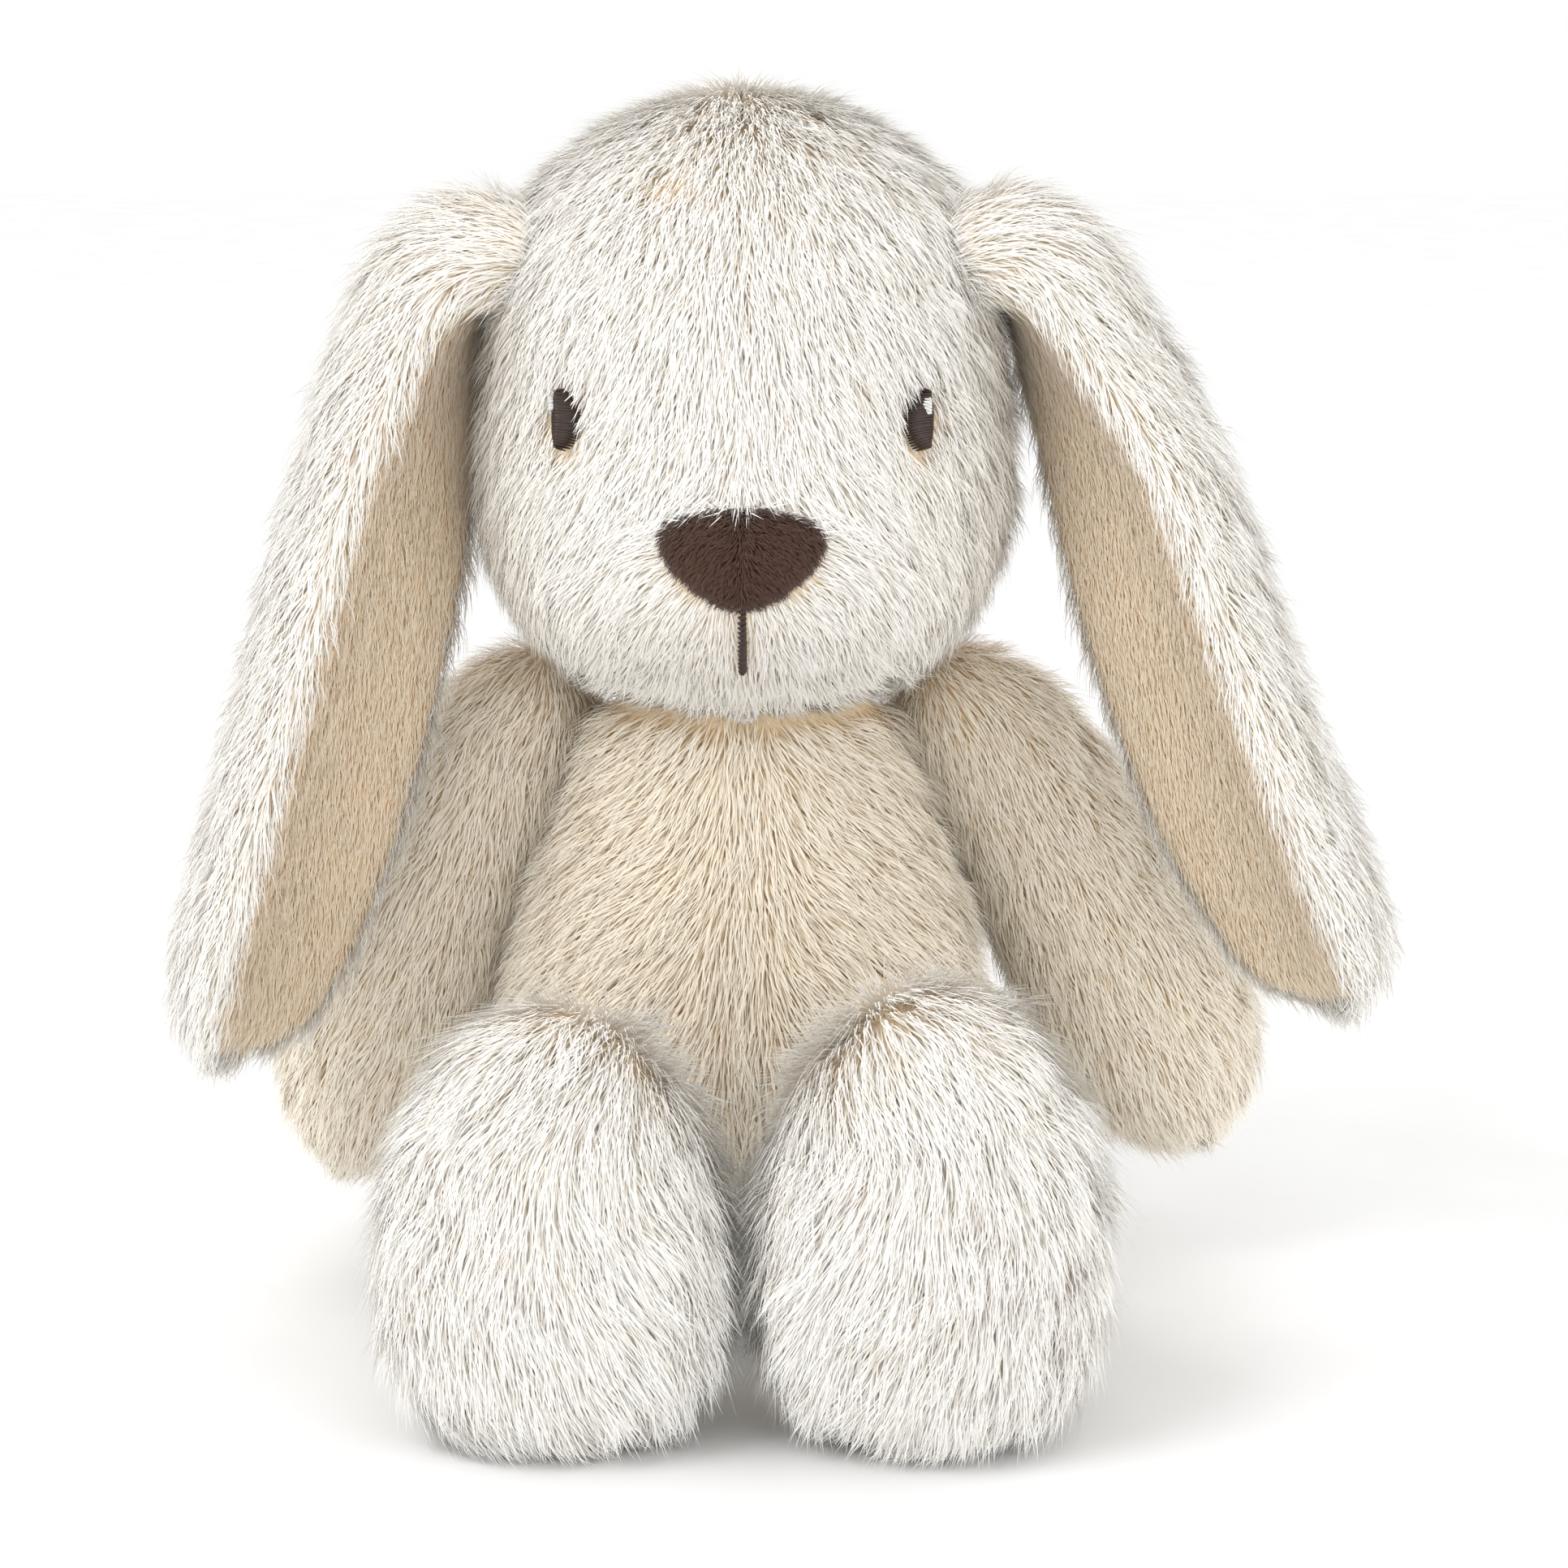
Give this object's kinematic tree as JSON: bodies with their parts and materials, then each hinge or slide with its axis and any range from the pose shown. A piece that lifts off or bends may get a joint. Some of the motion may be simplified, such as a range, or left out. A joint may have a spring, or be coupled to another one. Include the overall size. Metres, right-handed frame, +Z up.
{
  "type": "stuffed toy rabbit",
  "caption": "Sitting stuffed rabbit with lop ears, round feet and jointed-looking soft limbs; rests on a flat pellet-weighted seat.",
  "frame": {"origin": "middle of the flat underside of the seat", "axes": "+Z up, the toy faces -Y, its own left side is +X"},
  "size_m": [0.2605, 0.1951, 0.25],
  "materials": {
    "long_pile_plush": "cream polyester plush, long soft pile",
    "short_pile_peach": "peach polyester plush, short pile",
    "short_pile_brown": "dark brown short pile",
    "brown_embroidery": "satin stitched rayon thread",
    "white_embroidery": "satin stitched rayon thread",
    "stuffing_fibre": "loose polyester fibre",
    "ear_wadding": "bonded polyester wadding",
    "pouch_cloth": "plain woven cotton",
    "pellets": "polyethylene pellets",
    "sewing_thread": "polyester thread",
    "label_tape": "woven satin tape, blank"
  },
  "bodies": {
    "torso": {"seat_panel": "long_pile_plush", "torso_front_left_panel": "long_pile_plush", "torso_front_right_panel": "long_pile_plush", "torso_back_left_panel": "long_pile_plush", "torso_back_right_panel": "long_pile_plush", "torso_stuffing": "stuffing_fibre", "pellet_pouch": "pouch_cloth", "seat_pellets": "pellets", "tail_cover": "long_pile_plush", "tail_stuffing": "stuffing_fibre", "closing_stitches": "sewing_thread", "blank_label": "label_tape"},
    "neck": {"neck_stuffing": "stuffing_fibre"},
    "head": {"head_face_panel": "long_pile_plush", "head_chin_panel": "long_pile_plush", "head_back_left_panel": "long_pile_plush", "head_back_right_panel": "long_pile_plush", "head_stuffing": "stuffing_fibre", "nose_patch": "short_pile_brown", "mouth_stitch": "brown_embroidery", "eye_left": "brown_embroidery", "eye_right": "brown_embroidery", "eye_highlight_left": "white_embroidery", "eye_highlight_right": "white_embroidery"},
    "ear_left": {"ear_outer_left": "long_pile_plush", "ear_lining_left": "short_pile_peach", "ear_wadding_left": "ear_wadding"},
    "arm_left": {"arm_outer_left": "long_pile_plush", "arm_inner_left": "long_pile_plush", "arm_stuffing_left": "stuffing_fibre"},
    "leg_left": {"leg_sleeve_left": "long_pile_plush", "foot_cover_left": "long_pile_plush", "foot_sole_left": "long_pile_plush", "leg_stuffing_left": "stuffing_fibre", "foot_stuffing_left": "stuffing_fibre"},
    "ear_right": {"ear_outer_right": "long_pile_plush", "ear_lining_right": "short_pile_peach", "ear_wadding_right": "ear_wadding"},
    "arm_right": {"arm_outer_right": "long_pile_plush", "arm_inner_right": "long_pile_plush", "arm_stuffing_right": "stuffing_fibre"},
    "leg_right": {"leg_sleeve_right": "long_pile_plush", "foot_cover_right": "long_pile_plush", "foot_sole_right": "long_pile_plush", "leg_stuffing_right": "stuffing_fibre", "foot_stuffing_right": "stuffing_fibre"}
  },
  "joints": [
    {"name": "neck_turn", "type": "hinge", "parent": "torso", "child": "neck", "pos_m": [0, 0, 0.123], "axis": [0, 0, 1], "range_deg": [-10, 10], "stiffness_Nm_per_rad": 0.3},
    {"name": "neck_nod", "type": "hinge", "parent": "neck", "child": "head", "pos_m": [0, 0, 0.123], "axis": [1, 0, 0], "range_deg": [-18, 8], "stiffness_Nm_per_rad": 0.3},
    {"name": "ear_left_lift", "type": "hinge", "parent": "head", "child": "ear_left", "pos_m": [0.06024, 0, 0.22692], "axis": [0, -1, 0], "range_deg": [0, 110]},
    {"name": "arm_left_lift", "type": "hinge", "parent": "torso", "child": "arm_left", "pos_m": [0.04338, 0.01753, 0.11292], "axis": [0, -1, 0], "range_deg": [0, 40]},
    {"name": "leg_left_raise", "type": "hinge", "parent": "torso", "child": "leg_left", "pos_m": [0.0384, -0.05285, 0.02626], "axis": [-1, 0, 0], "range_deg": [-75, 25]},
    {"name": "ear_right_lift", "type": "hinge", "parent": "head", "child": "ear_right", "pos_m": [-0.06024, 0, 0.22692], "axis": [0, 1, 0], "range_deg": [0, 110]},
    {"name": "arm_right_lift", "type": "hinge", "parent": "torso", "child": "arm_right", "pos_m": [-0.04338, 0.01753, 0.11292], "axis": [0, 1, 0], "range_deg": [0, 40]},
    {"name": "leg_right_raise", "type": "hinge", "parent": "torso", "child": "leg_right", "pos_m": [-0.0384, -0.05285, 0.02626], "axis": [-1, 0, 0], "range_deg": [-75, 25]}
  ]
}
